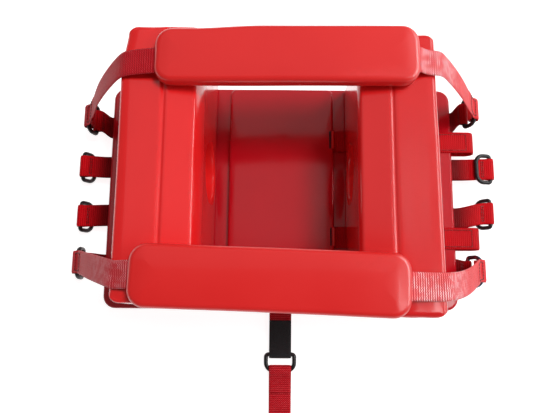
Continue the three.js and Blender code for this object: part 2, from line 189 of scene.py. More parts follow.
def add_surroundings():
    world = bpy.data.worlds.new("studio")
    world.use_nodes = True
    background = world.node_tree.nodes["Background"]
    background.inputs["Color"].default_value = (1.0, 0.985, 0.97, 1)
    background.inputs["Strength"].default_value = 0.17
    scene.world = world
    scene.view_settings.view_transform = "Standard"
    bpy.ops.mesh.primitive_plane_add(size=40, location=(0, 0, 0))
    floor = bpy.context.object
    floor.name = "floor"
    floor.data.materials.append(floor_material())
    add_area_light("key", (0.62, -0.22, 1.05), (0, 0, 0.08), (0.25, 0.25), 1.2)
    lamp = add_area_light("lamp", (0.9, 0.5, 2.9), (0, 0, 0.05), (0.7, 0.7), 57)
    lamp.visible_glossy = False
    add_area_light("ceiling", (0, 1.15, 1.5), (0, 1.15, 0), (2.2, 2.1), 5.4)
    window = add_area_light("window", WINDOW_PLACE, WINDOW_TARGET, (1.3, 0.35), 4)
    window.visible_glossy = False
    glint = add_area_light("glint", WINDOW_PLACE, WINDOW_TARGET, (1.3, 0.2), 32)
    glint.visible_diffuse = False


# ---------------------------------------------------------------- materials
def new_material(name):
    material = bpy.data.materials.new(name)
    material.use_nodes = True
    tree = material.node_tree
    shader = tree.nodes["Principled BSDF"]
    return material, tree, shader


def add_node(tree, kind, inputs=(), **settings):
    node = tree.nodes.new(kind)
    for key, value in settings.items():
        setattr(node, key, value)
    for key, value in dict(inputs).items():
        if isinstance(value, bpy.types.NodeSocket):
            tree.links.new(value, node.inputs[key])
        else:
            node.inputs[key].default_value = value
    return node


def noise_of(tree, scale, detail=2.0, roughness=0.5):
    place = add_node(tree, "ShaderNodeTexCoord").outputs["Object"]
    inputs = {"Vector": place, "Scale": scale, "Detail": detail, "Roughness": roughness}
    return add_node(tree, "ShaderNodeTexNoise", inputs).outputs["Fac"]


def ramp(tree, factor, low, high):
    """Mixes two colours by a factor socket."""
    node = add_node(tree, "ShaderNodeMix", {0: factor}, data_type="RGBA")
    node.inputs[6].default_value = (*low, 1)
    node.inputs[7].default_value = (*high, 1)
    return node.outputs[2]


def between(tree, value, low, high, to_low, to_high):
    """Maps a value socket from one range to another, and keeps it inside the second."""
    node = add_node(tree, "ShaderNodeMapRange", {"Value": value})
    node.inputs["From Min"].default_value = low
    node.inputs["From Max"].default_value = high
    node.inputs["To Min"].default_value = to_low
    node.inputs["To Max"].default_value = to_high
    return node.outputs["Result"]


def math_node(tree, operation, a, b=None, c=None):
    node = tree.nodes.new("ShaderNodeMath")
    node.operation = operation
    for socket, value in zip(node.inputs, (a, b, c)):
        if isinstance(value, bpy.types.NodeSocket):
            tree.links.new(value, socket)
        elif value is not None:
            socket.default_value = value
    return node.outputs[0]


def from_middle(tree):
    """The distance from the middle of the board along X."""
    place = add_node(tree, "ShaderNodeTexCoord").outputs["Object"]
    parts = add_node(tree, "ShaderNodeSeparateXYZ", {0: place})
    return math_node(tree, "ABSOLUTE", parts.outputs[0])


def bump(tree, layers):
    """Chains bump nodes: each layer is (height socket, strength, distance in metres)."""
    normal = None
    for height, strength, distance in layers:
        node = add_node(tree, "ShaderNodeBump", {"Height": height})
        node.inputs["Strength"].default_value = strength
        node.inputs["Distance"].default_value = distance
        if normal:
            tree.links.new(normal, node.inputs["Normal"])
        normal = node.outputs["Normal"]
    return normal


def floor_material():
    material, _, shader = new_material("floor")
    shader.inputs["Base Color"].default_value = (0.5, 0.5, 0.5, 1)
    shader.inputs["Roughness"].default_value = 0.9
    shader.inputs["Emission Color"].default_value = (1, 1, 1, 1)
    shader.inputs["Emission Strength"].default_value = 0.88
    return material


def vinyl_material(name, deep, bright, roughness, coat, grain):
    """Dip-coated or welded vinyl: uneven tone and gloss, fine grain and soft dents."""
    material, tree, shader = new_material(name)
    tone = between(tree, noise_of(tree, 9, 3), 0.1, 0.9, 0, 1)
    colour = ramp(tree, tone, deep, bright)
    tree.links.new(colour, shader.inputs["Base Color"])
    rub = noise_of(tree, 18, 3)
    gloss = between(tree, rub, 0.1, 0.9, roughness - 0.06, roughness + 0.07)
    tree.links.new(gloss, shader.inputs["Roughness"])
    shader.inputs["Coat Weight"].default_value = coat
    shader.inputs["Coat Roughness"].default_value = 0.1
    dents = (noise_of(tree, 14, 1), 0.08, 0.0016)
    peel = (noise_of(tree, 900, 3), grain, 0.00012)
    tree.links.new(bump(tree, [dents, peel]), shader.inputs["Normal"])
    return material


def webbing_material(name, deep, bright, crown, specks, roughness, shaded=None, fading=None):
    """Woven webbing: warp ribs along the strap and weft picks across it, from the strap's UV in
    metres, with the weave's low parts painted darker as shade. specks is the height the crowns of the
    threads start at and how pale they get: painted glints of light. shaded and fading give distances
    from the middle of the board: between the first two a tab gets lighter, so it is painted in shade
    nearer the board, and between the second two the painted glints die out."""
    material, tree, shader = new_material(name)
    uv = add_node(tree, "ShaderNodeUVMap").outputs["UV"]
    parts = add_node(tree, "ShaderNodeSeparateXYZ", {0: uv})
    across = math_node(tree, "MULTIPLY", parts.outputs[0], math.pi / WEAVE_PITCH)
    along = math_node(tree, "MULTIPLY", parts.outputs[1], math.pi / WEAVE_PITCH)
    warp = math_node(tree, "SINE", across)
    weft = math_node(tree, "SINE", along)
    weave = math_node(tree, "MULTIPLY", warp, weft)
    wave = math_node(tree, "SINE", math_node(tree, "MULTIPLY", along, 0.5))
    rib = math_node(tree, "ABSOLUTE", wave)
    height = math_node(tree, "MULTIPLY_ADD", weave, 0.5, rib)
    fibre = noise_of(tree, 2600, 2)
    shade = between(tree, math_node(tree, "MULTIPLY_ADD", fibre, 0.5, height), 0.0, 1.6, 0, 1)
    patch = between(tree, noise_of(tree, 60, 3), 0.3, 0.7, 0.82, 1.12)
    colour = ramp(tree, math_node(tree, "MULTIPLY", shade, patch), deep, bright)
    if shaded:
        # Painted shade: darker nearer the board, standing in for the shade the block casts there.
        light = between(tree, from_middle(tree), *shaded, 0.28, 1.12)
        grey = add_node(tree, "ShaderNodeCombineXYZ", {0: light, 1: light, 2: light})
        inputs = {0: colour, 1: grey.outputs[0]}
        colour = add_node(tree, "ShaderNodeVectorMath", inputs, operation="MULTIPLY").outputs[0]
    start, most = specks
    # Pale crowns of the threads: painted glints of light, not a colour of the yarn.
    crest = math_node(tree, "MULTIPLY_ADD", fibre, 0.9, height)
    speck = between(tree, crest, start, start + 0.3, 0, most)
    # The painted glints come in random patches and die out away from the board's middle.
    if fading:
        glint_patches = between(tree, noise_of(tree, 150, 2), 0.42, 0.58, 0.35, 1)
        faded = between(tree, from_middle(tree), *fading, 1, 0.12)
        speck = math_node(tree, "MULTIPLY", math_node(tree, "MULTIPLY", speck, glint_patches), faded)
    pale = add_node(tree, "ShaderNodeMix", {0: speck, 6: colour}, data_type="RGBA")
    pale.inputs[7].default_value = (*crown, 1)
    tree.links.new(pale.outputs[2], shader.inputs["Base Color"])
    gloss = between(tree, fibre, 0.3, 0.7, roughness - 0.12, roughness + 0.12)
    tree.links.new(gloss, shader.inputs["Roughness"])
    shader.inputs["Specular IOR Level"].default_value = 0.04
    normal = bump(tree, [(height, 0.75, 0.00035), (fibre, 0.35, 0.0002)])
    tree.links.new(normal, shader.inputs["Normal"])
    return material


def fuzzy_material(name, deep, bright, sheen):
    """The pile of hook-and-loop tape."""
    material, tree, shader = new_material(name)
    pile = noise_of(tree, 1500, 4, 0.7)
    tufts = noise_of(tree, 420, 3)
    colour = ramp(tree, between(tree, pile, 0.35, 0.7, 0, 1), deep, bright)
    tree.links.new(colour, shader.inputs["Base Color"])
    shader.inputs["Roughness"].default_value = 0.95
    shader.inputs["Sheen Weight"].default_value = sheen
    shader.inputs["Sheen Roughness"].default_value = 0.5
    tree.links.new(bump(tree, [(tufts, 0.8, 0.0006), (pile, 0.9, 0.0004)]), shader.inputs["Normal"])
    return material


def ring_material(name, deep, bright, metallic, roughness):
    """Coated or plated wire with rub marks."""
    material, tree, shader = new_material(name)
    worn = between(tree, noise_of(tree, 160, 5, 0.6), 0.45, 0.75, 0, 1)
    tree.links.new(ramp(tree, worn, deep, bright), shader.inputs["Base Color"])
    shader.inputs["Metallic"].default_value = metallic
    gloss = between(tree, noise_of(tree, 380, 4), 0.3, 0.7, roughness - 0.05, roughness + 0.12)
    tree.links.new(gloss, shader.inputs["Roughness"])
    tree.links.new(bump(tree, [(noise_of(tree, 700, 3), 0.2, 0.0001)]), shader.inputs["Normal"])
    return material


def thread_material(name, colour):
    material, tree, shader = new_material(name)
    twist = noise_of(tree, 3000, 2)
    deep = tuple(0.6 * c for c in colour)
    tree.links.new(ramp(tree, twist, deep, colour), shader.inputs["Base Color"])
    shader.inputs["Roughness"].default_value = 0.5
    tree.links.new(bump(tree, [(twist, 0.5, 0.0001)]), shader.inputs["Normal"])
    return material


MATERIALS = {
    # The two blocks are one vinyl: the left one is given a lighter colour than the right to make up
    # for the light falling from the right. This is painted light.
    "left_block": vinyl_material(
        "left_block_vinyl", (0.72, 0.011, 0.012), (0.84, 0.017, 0.017), 0.20, 0.4, 0.10),
    "right_block": vinyl_material(
        "right_block_vinyl", (0.59, 0.008, 0.009), (0.68, 0.013, 0.013), 0.20, 0.4, 0.10),
    "pad": vinyl_material("pad_vinyl", (0.64, 0.009, 0.009), (0.74, 0.015, 0.013), 0.34, 0.3, 0.08),
    "board": vinyl_material(
        "board_vinyl", (0.40, 0.003, 0.009), (0.50, 0.005, 0.013), 0.13, 0.2, 0.08),
    "webbing": webbing_material(
        "webbing", (0.27, 0.003, 0.007), (0.62, 0.012, 0.022), (0.9, 0.32, 0.34), (1.55, 0.5), 0.42),
    # The left chin leg's copy has more and paler crowns: painted glints of light.
    "glint_dotted": webbing_material(
        "dotted_webbing", (0.32, 0.006, 0.010), (0.70, 0.020, 0.030), (0.95, 0.62, 0.66),
        (1.38, 0.8), 0.4, fading=(0.172, 0.192)),
    # The right legs' copy is the same cloth painted brighter, with more glints: painted light, as the
    # light falls from the right.
    "lit_side": webbing_material(
        "shiny_webbing", (0.44, 0.006, 0.010), (0.95, 0.030, 0.038), (1, 0.88, 0.92),
        (1.25, 1.0), 0.36, fading=(0.160, 0.182)),
    # Tabs: painted shade darkens them towards the board's edge.
    "tab": webbing_material(
        "tab_webbing", (0.28, 0.002, 0.004), (0.66, 0.005, 0.011), (0.8, 0.1, 0.12),
        (1.6, 0.4), 0.5, shaded=(0.205, 0.230)),
    "board_strap": webbing_material(
        "board_strap_webbing", (0.30, 0.002, 0.004), (0.64, 0.006, 0.012), (0.8, 0.1, 0.12),
        (1.6, 0.4), 0.5),
    "loop": fuzzy_material("loop_pile", (0.16, 0.003, 0.006), (0.34, 0.010, 0.016), 0.3),
    "hook": fuzzy_material("hook_pile", (0.003, 0.003, 0.004), (0.018, 0.018, 0.021), 0.1),
    "black": ring_material("black_wire", (0.004, 0.004, 0.005), (0.02, 0.02, 0.023), 0.0, 0.3),
    "nickel": ring_material("nickel_wire", (0.10, 0.13, 0.18), (0.42, 0.47, 0.55), 1.0, 0.15),
    "thread": thread_material("red_thread", (0.07, 0.002, 0.003)),
}


# ---------------------------------------------------------------- mesh helpers
def make_piece(name, places, faces, material, body, uv=None, replaces=()):
    mesh = bpy.data.meshes.new(name)
    mesh.from_pydata([tuple(map(float, p)) for p in places], [], faces)
    mesh.validate()
    outward = bmesh.new()
    outward.from_mesh(mesh)
    bmesh.ops.recalc_face_normals(outward, faces=outward.faces)
    outward.to_mesh(mesh)
    outward.free()
    mesh.shade_smooth()
    if uv is not None:
        layer = mesh.uv_layers.new(name="UVMap")
        for loop in mesh.loops:
            layer.data[loop.index].uv = uv[loop.vertex_index]
    mesh.materials.append(MATERIALS[material])
    piece = bpy.data.objects.new(name, mesh)
    scene.collection.objects.link(piece)
    if body:
        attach(piece, body)
    if replaces:
        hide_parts(*replaces)
    return piece


def loft(rings, closed_rows=False):
    """Vertices and faces of a skin over rings that all hold the same number of points, with a cap
    at each end, or with its last ring joined to its first."""
    count = len(rings[0])
    places = np.vstack(rings)
    faces = []
    rows = len(rings) if closed_rows else len(rings) - 1
    for i in range(rows):
        a = i * count
        b = ((i + 1) % len(rings)) * count
        for k in range(count):
            n = (k + 1) % count
            faces.append((a + k, a + n, b + n, b + k))
    if not closed_rows:
        faces.append(tuple(reversed(range(count))))
        last = (len(rings) - 1) * count
        faces.append(tuple(range(last, last + count)))
    return places, faces


class Outline:
    """A rounded rectangle whose points keep their number when it shrinks. Each of its points is
    held as its corner's signs and radius, and then as a unit vector from the middle of that
    corner's arc, or as the next corner's signs and radius and a share of the way to it."""

    def __init__(self, width, length, radius, step, arcs=8, low_radius=None):
        self.half = np.array([width / 2, length / 2])
        self.corners = []
        radii = [radius, radius, low_radius or radius, low_radius or radius]
        signs = [(1, 1), (-1, 1), (-1, -1), (1, -1)]
        for quarter, (sign, r) in enumerate(zip(signs, radii)):
            for i in range(arcs + 1):
                turn = math.pi / 2 * (quarter + i / arcs)
                self.corners.append((sign, r, (math.cos(turn), math.sin(turn))))
            ahead = signs[(quarter + 1) % 4]
            side = length if sign[0] == ahead[0] else width
            inner = max(2, int(side / step))
            for i in range(1, inner):
                self.corners.append((sign, r, (ahead, radii[(quarter + 1) % 4], i / inner)))

    def _corner(self, sign, radius, unit, inset):
        r = max(radius - inset, 0.0003)
        return (self.half - inset - r) * np.array(sign) + r * np.array(unit)

    def point(self, k, inset):
        sign, radius, rest = self.corners[k]
        if len(rest) == 2:
            return self._corner(sign, radius, rest, inset)
        ahead, ahead_radius, share = rest
        middle = (np.array(sign) + np.array(ahead)) / 2
        a = self._corner(sign, radius, middle, inset)
        b = self._corner(ahead, ahead_radius, middle, inset)
        return a + (b - a) * share

    def normal(self, k):
        sign, _, rest = self.corners[k]
        if len(rest) == 2:
            return np.array(rest)
        return (np.array(sign) + np.array(rest[0])) / 2

    def ring(self, inset, z):
        return np.array([[*self.point(k, inset), z] for k in range(len(self))])

    def __len__(self):
        return len(self.corners)


def undulate(places, size, amount, seed):
    """Moves each point a little by smooth noise, as hand-coated foam is never quite flat."""
    moved = np.array(places, float)
    for i, p in enumerate(places):
        step = noise.noise_vector(Vector(np.array(p) / size) + Vector((seed, 2 * seed, 3 * seed)))
        moved[i] += amount * np.array(step)
    return moved


def smoothstep(value, low, high):
    share = np.clip((value - low) / (high - low), 0, 1)
    return share * share * (3 - 2 * share)


def side_of(name):
    return -1 if name == "left" else 1


# ---------------------------------------------------------------- lines and straps
def run_along(line):
    """How far along a line each of its points lies."""
    steps = np.linalg.norm(np.diff(line, axis=0), axis=1)
    return np.concatenate([[0], np.cumsum(steps)])


def line_at(line, where):
    """The point of a line at a run along it, or the points at several."""
    run = run_along(line)
    return np.stack([np.interp(where, run, line[:, i]) for i in range(line.shape[1])], -1)


def resample(line, count):
    return line_at(line, np.linspace(0, line_length(line), count))


def line_length(line):
    return float(run_along(line)[-1])


def curve_through(points, count):
    """A centripetal Catmull-Rom line through points, resampled evenly."""
    points = [np.array(p, float) for p in points]
    padded = [2 * points[0] - points[1], *points, 2 * points[-1] - points[-2]]
    dense = []
    for p0, p1, p2, p3 in zip(padded, padded[1:], padded[2:], padded[3:]):
        t1 = np.linalg.norm(p1 - p0) ** 0.5
        t2 = t1 + np.linalg.norm(p2 - p1) ** 0.5
        t3 = t2 + np.linalg.norm(p3 - p2) ** 0.5
        for t in np.linspace(t1, t2, 40, endpoint=False):
            a1 = (t1 - t) / t1 * p0 + t / t1 * p1
            a2 = (t2 - t) / (t2 - t1) * p1 + (t - t1) / (t2 - t1) * p2
            a3 = (t3 - t) / (t3 - t2) * p2 + (t - t2) / (t3 - t2) * p3
            b1 = (t2 - t) / t2 * a1 + t / t2 * a2
            b2 = (t3 - t) / (t3 - t1) * a2 + (t - t1) / (t3 - t1) * a3
            dense.append((t2 - t) / (t2 - t1) * b1 + (t - t1) / (t2 - t1) * b2)
    dense.append(points[-1])
    return resample(np.array(dense), count)


def ribbon(line, across, square=False):
    """A strap's vertices, faces and UV in metres. line holds its middle, and across its width's
    direction, turned square to the line where that is asked for; the selvedges are a little thicker
    than the middle, as woven ones are."""
    line = np.array(line, float)
    across = np.broadcast_to(np.array(across, float), line.shape)
    ahead = np.gradient(line, axis=0)
    ahead /= np.linalg.norm(ahead, axis=1)[:, None]
    if square:
        across = across - ahead * (ahead * across).sum(1)[:, None]
        across = across / np.linalg.norm(across, axis=1)[:, None]
    up = np.cross(ahead, across)
    up /= np.linalg.norm(up, axis=1)[:, None]
    top = []
    for share in np.linspace(-1, 1, 13):
        edge = abs(share)
        lift = 0.88 + 0.12 * smoothstep(edge, 0.80, 0.90)
        lift *= math.sqrt(max(0.0, 1 - max(0.0, (edge - 0.95) / 0.05) ** 2)) * 0.8 + 0.2
        top.append((share * WEBBING / 2, lift * STRAP / 2))
    under = [(a, -h) for a, h in reversed(top)]
    sides, lifts = np.array(top + under).T
    rings = [p + np.outer(sides, s) + np.outer(lifts, u) for p, s, u in zip(line, across, up)]
    places, faces = loft(rings)
    uv = [(a, v) for v in run_along(line) for a in sides]
    return places, faces, uv


def looped(line, eye, back):
    """Turns a strap's middle line, [x, z] in its own plane, round an eye centred on the line's last
    point and back along itself for a length: the outer layer runs above the line, the returning
    one below it. Gives the whole line and its outer layer alone."""
    line = np.array(line, float)
    ahead = np.gradient(line, axis=0)
    ahead /= np.linalg.norm(ahead, axis=1)[:, None]
    up = np.stack([-ahead[:, 1], ahead[:, 0]], 1)
    run = run_along(line)
    left = run[-1] - run
    radius = eye + STRAP / 2
    centre = line[-1]
    spread = LAYERS / 2 + (radius - LAYERS / 2) * (1 - smoothstep(left, 0, 2.2 * radius))
    keep = left > 0.2 * radius
    double = np.ones((len(line), 1))
    if back < run[-1]:
        double = smoothstep(left, back + FOLD_EASE, back)[:, None]
    over = line + up * spread[:, None] * double
    under = line - up * spread[:, None]
    turn = math.atan2(up[-1][1], up[-1][0])
    arc = [centre + radius * np.array([math.cos(turn - a), math.sin(turn - a)])
           for a in np.linspace(0.1, math.pi - 0.1, 12)]
    returning = under[keep & (left < back)][::-1]
    return np.vstack([over[keep], arc, returning]), over[keep]


def side_strap(line, side, ring_y, drift):
    """Puts an [x, z] line into space for one side, with its drift along Y."""
    return np.array([[side * x, ring_y + drift(x), z] for x, z in line])


def stitched(name, stitches, body):
    """Short threads, each from a start to an end and sunk a little into the cloth."""
    places = []
    faces = []
    for start, end, normal in stitches:
        ahead = (end - start) / np.linalg.norm(end - start)
        side = np.cross(ahead, normal)
        rings = []
        for share, size in ((0, 0.25), (0.15, 0.85), (0.5, 1.1), (0.85, 0.85), (1, 0.25)):
            middle = start + (end - start) * share + normal * STITCH_RADIUS * (0.9 * size - 0.4)
            rings.append([middle + STITCH_RADIUS * size * (math.cos(a) * side + math.sin(a) * normal)
                          for a in np.arange(6) / 6 * 2 * math.pi])
        skin, skin_faces = loft(rings)
        faces += [tuple(len(places) + k for k in face) for face in skin_faces]
        places.extend(skin)
    return make_piece(name, places, faces, "thread", body)


def cross_rows(line, run):
    """Stitches across a strap at a run along its [x, y, z] line, each a start, an end and a normal."""
    at = line_at(line, run)
    ahead = line_at(line, run + 0.001) - at
    ahead /= np.linalg.norm(ahead)
    across = np.array([0, 1.0, 0])
    normal = np.cross(ahead, across)
    normal *= np.sign(normal[2]) or 1
    at = at + normal * 0.9 * STRAP / 2
    usable = WEBBING - 2 * SELVEDGE
    pitch = usable / STITCHES_ACROSS
    rows = []
    for i in range(STITCHES_ACROSS):
        start, end = ((i + share) * pitch - usable / 2 for share in (STITCH_GAP, 1 - STITCH_GAP))
        rows.append((at + across * start, at + across * end, normal))
    return rows


def long_rows(line, run_from, run_to, offset):
    """Stitches along a strap, a distance from its middle, each a start, an end and a normal."""
    count = int((run_to - run_from) / STITCH_PITCH)
    pitch = (run_to - run_from) / count
    rows = []
    for i in range(count):
        start, end = (line_at(line, run_from + (i + share) * pitch)
                      for share in (STITCH_GAP, 1 - STITCH_GAP))
        normal = np.cross(end - start, (0, 1, 0))
        normal /= np.linalg.norm(normal)
        normal *= np.sign(normal[2]) or 1
        shift = np.array([0, offset, 0]) + normal * 0.9 * STRAP / 2
        rows.append((start + shift, end + shift, normal))
    return rows


def seams(line, run_from, run_to):
    """The stitches of a strap's two long seams."""
    return [row for offset in (-SEAM, SEAM) for row in long_rows(line, run_from, run_to, offset)]


# ---------------------------------------------------------------- board and headrest
def slab(outline, rows, x=0.0, y=0.0):
    """A lofted slab from (inset, height) rows, with its middle at a place on the board."""
    places, faces = loft([outline.ring(inset, z) for inset, z in rows])
    return places + np.array([x, y, 0]), faces


def edge_rows(low, high, low_radius, high_radius, inner, crown=0.0, steps=5):
    """Rows of a slab whose two rims are quarter rounds; the top rises by crown towards its middle."""
    rows = [(inner * share, low) for share in (1, 0.6, 0.3)]
    for i in range(steps + 1):
        turn = math.pi / 2 * i / steps
        rows.append((low_radius * (1 - math.sin(turn)), low + low_radius * (1 - math.cos(turn))))
    top = high - crown
    for i in range(steps + 1):
        turn = math.pi / 2 * i / steps
        rows.append((high_radius * (1 - math.cos(turn)), top - high_radius * (1 - math.sin(turn))))
    for share in (0.12, 0.25, 0.4, 0.55, 0.7, 0.85, 1):
        inset = high_radius + (inner - high_radius) * share
        rows.append((inset, top + crown * (1 - (1 - share) ** 2)))
    return rows


def base_board():
    size = BOARD_HIGH - BOARD_LOW
    outline = Outline(size.x, size.y, BOARD_CORNER, 0.008, arcs=10)
    rows = edge_rows(BOARD_LOW.z, BOARD_TOP, 0.0025, 0.0035, size.y / 2 - 0.001)
    places, faces = slab(outline, rows)
    x, y, z = places.T
    places[:, 2] += 0.0004 * (z > BOARD_TOP / 2) * np.sin(x * 21) * np.cos(y * 27 + 1)
    make_piece("board_cover", places, faces, "board", "base", replaces=["base_board"])


def headrest():
    low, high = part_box("headrest_pad")
    size = high - low
    outline = Outline(size.x, size.y, HEADREST_CORNER, 0.006)
    rows = edge_rows(low.z, high.z, 0.001, 0.0032, size.x / 2 - 0.0008, crown=0.0012)
    centre = (low + high) / 2
    places, faces = slab(outline, rows, centre.x, centre.y)
    top = places[:, 2] > (low.z + high.z) / 2
    places[top] = undulate(places[top], 0.07, 0.0005, 4)
    places[top, 2] -= HEADREST_DROOP * smoothstep(places[top, 1], HEADREST_DROOP_FROM, high.y)
    piece = make_piece("headrest", places, faces, "board", "base", replaces=["headrest_pad"])


def slit_lips():
    """The slits in the headrest's right side that let the board straps out: a black strip stands for
    the shade inside each slit, which is painted shade, and a raised lip of the paler pad vinyl beside
    it is partly a real welt and partly a painted highlight on the slit's edge.
    """
    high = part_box("headrest_pad")[1]
    for name, strap in BOARD_STRAPS.items():
        for part, x, top, width, material in (
            ("lip", high.x - 0.0012, high.z - 0.0001, 0.0022, "pad"),
            ("slit", high.x - 0.0042, high.z - 0.0006, 0.0016, "hook"),
        ):
            outline = Outline(width, WEBBING - 0.004, width * 0.45, 0.004, arcs=4)
            rows = edge_rows(top - 0.002, top, 0.0002, 0.0006, width / 2 - 0.0002, steps=3)
            places, faces = slab(outline, rows, x, strap["y"])
            make_piece(f"headrest_{part}_{name}", places, faces, material, "base")


def tape_strips():
    for name in [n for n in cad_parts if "_strip_" in n]:
        low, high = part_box(name)
        size = high - low
        outline = Outline(size.x, size.y, 0.002, 0.004, arcs=4)
        rows = edge_rows(low.z, high.z, 0.0003, 0.0003, min(size.x, size.y) / 2 - 0.0005, steps=2)
        centre = (low + high) / 2
        places, faces = slab(outline, rows, centre.x, centre.y)
        body = f"{name.split('_')[0]}_block" if "_hook_" in name else "base"
        piece_name = name.replace("strip", "tape")
        make_piece(piece_name, places, faces, "loop", body, replaces=[name])


# ---------------------------------------------------------------- head blocks
def filleted(corners):
    """A polyline of (x, depth, softness) corners whose inner corners are rounded, each with the
    same number of points."""
    points = [np.array(corners[0][:2])]
    for before, here, after in zip(corners, corners[1:], corners[2:]):
        p = np.array(here[:2])
        a = np.array(before[:2]) - p
        b = np.array(after[:2]) - p
        a *= min(here[2], 0.45 * np.linalg.norm(a)) / np.linalg.norm(a)
        b *= min(here[2], 0.45 * np.linalg.norm(b)) / np.linalg.norm(b)
        for t in np.linspace(0, 1, 5):
            points.append(p + (1 - t) ** 2 * a + t ** 2 * b)
    points.append(np.array(corners[-1][:2]))
    return np.array(points)


def with_facets(section, per_gap):
    """Adds points along the longer stretches of a section."""
    made = [section[0]]
    for a, b, count in zip(section, section[1:], per_gap):
        for i in range(1, count + 1):
            made.append(a + (b - a) * i / count)
    return np.array(made)


SHOULDER = 0.004  # the inner top edge's depth below the ridge
END_ROUND = 0.006
END_DEPTH = 0.016
FOOT_ROUND = 0.0014
FOOT_DEPTH = 0.0024


def plain_rim(b, w, radius, depth):
    """A rim of one radius at both walls, with as many corners as the top's."""
    down = depth - radius
    soft = 0.85 * radius
    return [
        (-b, depth, 0),
        (-b, radius + 0.6 * down, 0.1 * down),
        (-b, radius + 0.3 * down, 0.1 * down),
        (-b, radius, soft),
        (-b + radius, 0, soft),
        *((share * w, 0, 0.001) for share in CREASE),
        (0.65 * w, 0, 0.01),
        (w - radius, 0, soft),
        (w, radius, soft),
        (w, depth, 0),
    ]


def block_sections(block):
    """The block's rim from the inner wall to the outer one, over its top, its ends and its foot."""
    b, drop, w, outer = block["bevel"], block["drop"], BLOCK_TOP_WIDTH, block["outer"]
    depth = SHOULDER + drop + 0.004
    before, crease, after = (share * w for share in CREASE)
    top = [
        (-b, depth, 0),
        (-b, SHOULDER + drop, 0.003),
        (-0.91 * b, SHOULDER + 0.7 * drop, 0.004),
        (-0.58 * b, SHOULDER + 0.35 * drop, 0.004),
        (0, SHOULDER, 0.0028),
        (before, 0.0002, 0.0030),
        (crease, CREASE_DEPTH, 0.0012),
        (after, 0, 0.0030),
        (0.87 * w, 0.003 * outer, 0.003),
        (w - 0.003, 0.0055 * outer, 0.0018),
        (w - 0.0004, 0.0025 + 0.0055 * outer, 0.0016),
        (w, depth, 0),
    ]
    end = plain_rim(b, w, END_ROUND, END_DEPTH)
    base = plain_rim(b, w, FOOT_ROUND, FOOT_DEPTH)
    made = [filleted(corners) for corners in (top, end, base)]
    gaps = [1] * (len(made[0]) - 1)
    for index, count in ((5, 2), (10, 2), (15, 2), (20, 9), (35, 9), (40, 2)):
        gaps[index] = count
    return [with_facets(s, gaps) for s in made], np.array([depth, END_DEPTH, FOOT_DEPTH])


def head_block(name, block, seed):
    low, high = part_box(f"{name}_head_block")
    foot, top = low.z, high.z
    middle = (foot + top) / 2
    length = block["length"]
    outline = Outline(length, top - foot, 0.0055, 0.0045, arcs=6, low_radius=0.004)
    sections, depths = block_sections(block)
    ear = np.array([EAR_Y - block["shift"], EAR_Z - middle])
    ear_half = np.array([EAR_LENGTH / 2, EAR_HEIGHT / 2])
    b, w, rim = block["bevel"], BLOCK_TOP_WIDTH, EAR_RIM

    def placed(x, u, v):
        z = v + middle
        low_share = 1 - (z - foot) / DRAFT_HEIGHT
        share = (x + b) / (w + b)
        lean = low_share * (share * BLOCK_DRAFT + (1 - share) * block["lean"])
        drawn = share * block["drawn"] * smoothstep(u, length / 2 - DRAWN_IN_FROM, length / 2)
        splay = share * block["splay"] * (0.5 - u / length)
        return (side_of(name) * (block["edge"] + x + lean - drawn + splay), u + block["shift"], z)

    rings = []
    for k in range(len(outline)):
        n = outline.normal(k)
        weight = np.array([max(n[1], 0) ** 2, n[0] ** 2, max(-n[1], 0) ** 2])
        weight = weight / weight.sum()
        section = sum(share * s for share, s in zip(weight, sections))
        ring = [placed(x, *outline.point(k, d)) for x, d in section]
        start = outline.point(k, float(weight @ depths))
        corner = outline.point(k, 0) / outline.half
        turn = math.atan2(corner[1], corner[0])
        unit = np.array([math.cos(turn), math.sin(turn)])
        edge = ear + ear_half * unit
        wide = ear + (ear_half + rim) * unit
        wall = [start + (wide - start) * share for share in (0.15, 0.32, 0.5, 0.68, 0.84, 0.95)]
        ring += [placed(w, *p) for p in wall]
        for i in range(6):
            a = math.pi / 2 * i / 5
            at = edge + (wide - edge) * (1 - math.sin(a))
            ring.append(placed(w - rim * (1 - math.cos(a)), *at))
        for share in (0.2, 0.4, 0.6, 0.8):
            ring.append(placed(w - rim + (-b - w + 2 * rim) * share, *edge))
        for i in range(6):
            a = math.pi / 2 * (1 - i / 5)
            at = edge + (wide - edge) * (1 - math.sin(a))
            ring.append(placed(-b + rim * (1 - math.cos(a)), *at))
        ring += [placed(-b, *p) for p in reversed(wall)]
        rings.append(np.array(ring))
    places, faces = loft(rings, closed_rows=True)
    dented = undulate(places, (0.07, 0.11, 0.07), 0.0006, seed)
    places = undulate(dented, (0.013, 0.25, 0.03), 0.00045, seed + 5)  # long folds along it
    block_name = f"{name}_block"
    piece = make_piece(f"{block_name}_foam", places, faces, block_name, block_name,
                       replaces=[f"{name}_head_block"])


# ---------------------------------------------------------------- pads
def pad_piece(name, pad, seed):
    low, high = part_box(f"{name}_pad")
    outline = Outline(PAD_LENGTH, PAD_WIDTH, PAD_CORNER, 0.004, arcs=10)
    rows = edge_rows(low.z, high.z, 0.004, 0.0055, PAD_WIDTH / 2 - 0.0006, crown=0.0014, steps=7)
    places, faces = slab(outline, rows)
    height = (places[:, 2] - low.z) / (high.z - low.z)
    droop = 0.0012 * smoothstep(np.abs(places[:, 0]), PAD_LENGTH / 2 - 0.016, PAD_LENGTH / 2 + 0.004)
    places[:, 2] -= droop * height
    pinch = pad["pinch"] * smoothstep(-places[:, 0], 0.02, 0.09) * (places[:, 1] / PAD_WIDTH + 0.5)
    places[:, 1] -= pinch
    places = undulate(places, (0.09, 0.05, 0.05), 0.0006, seed)
    c, s = math.cos(pad["turn"]), math.sin(pad["turn"])
    turned = places @ np.array([[c, s, 0], [-s, c, 0], [0, 0, 1]])
    places = turned + np.array((pad["x"], pad["y"], 0))
    piece = make_piece(f"{name}_cushion", places, faces, "pad", name, replaces=[f"{name}_pad"])


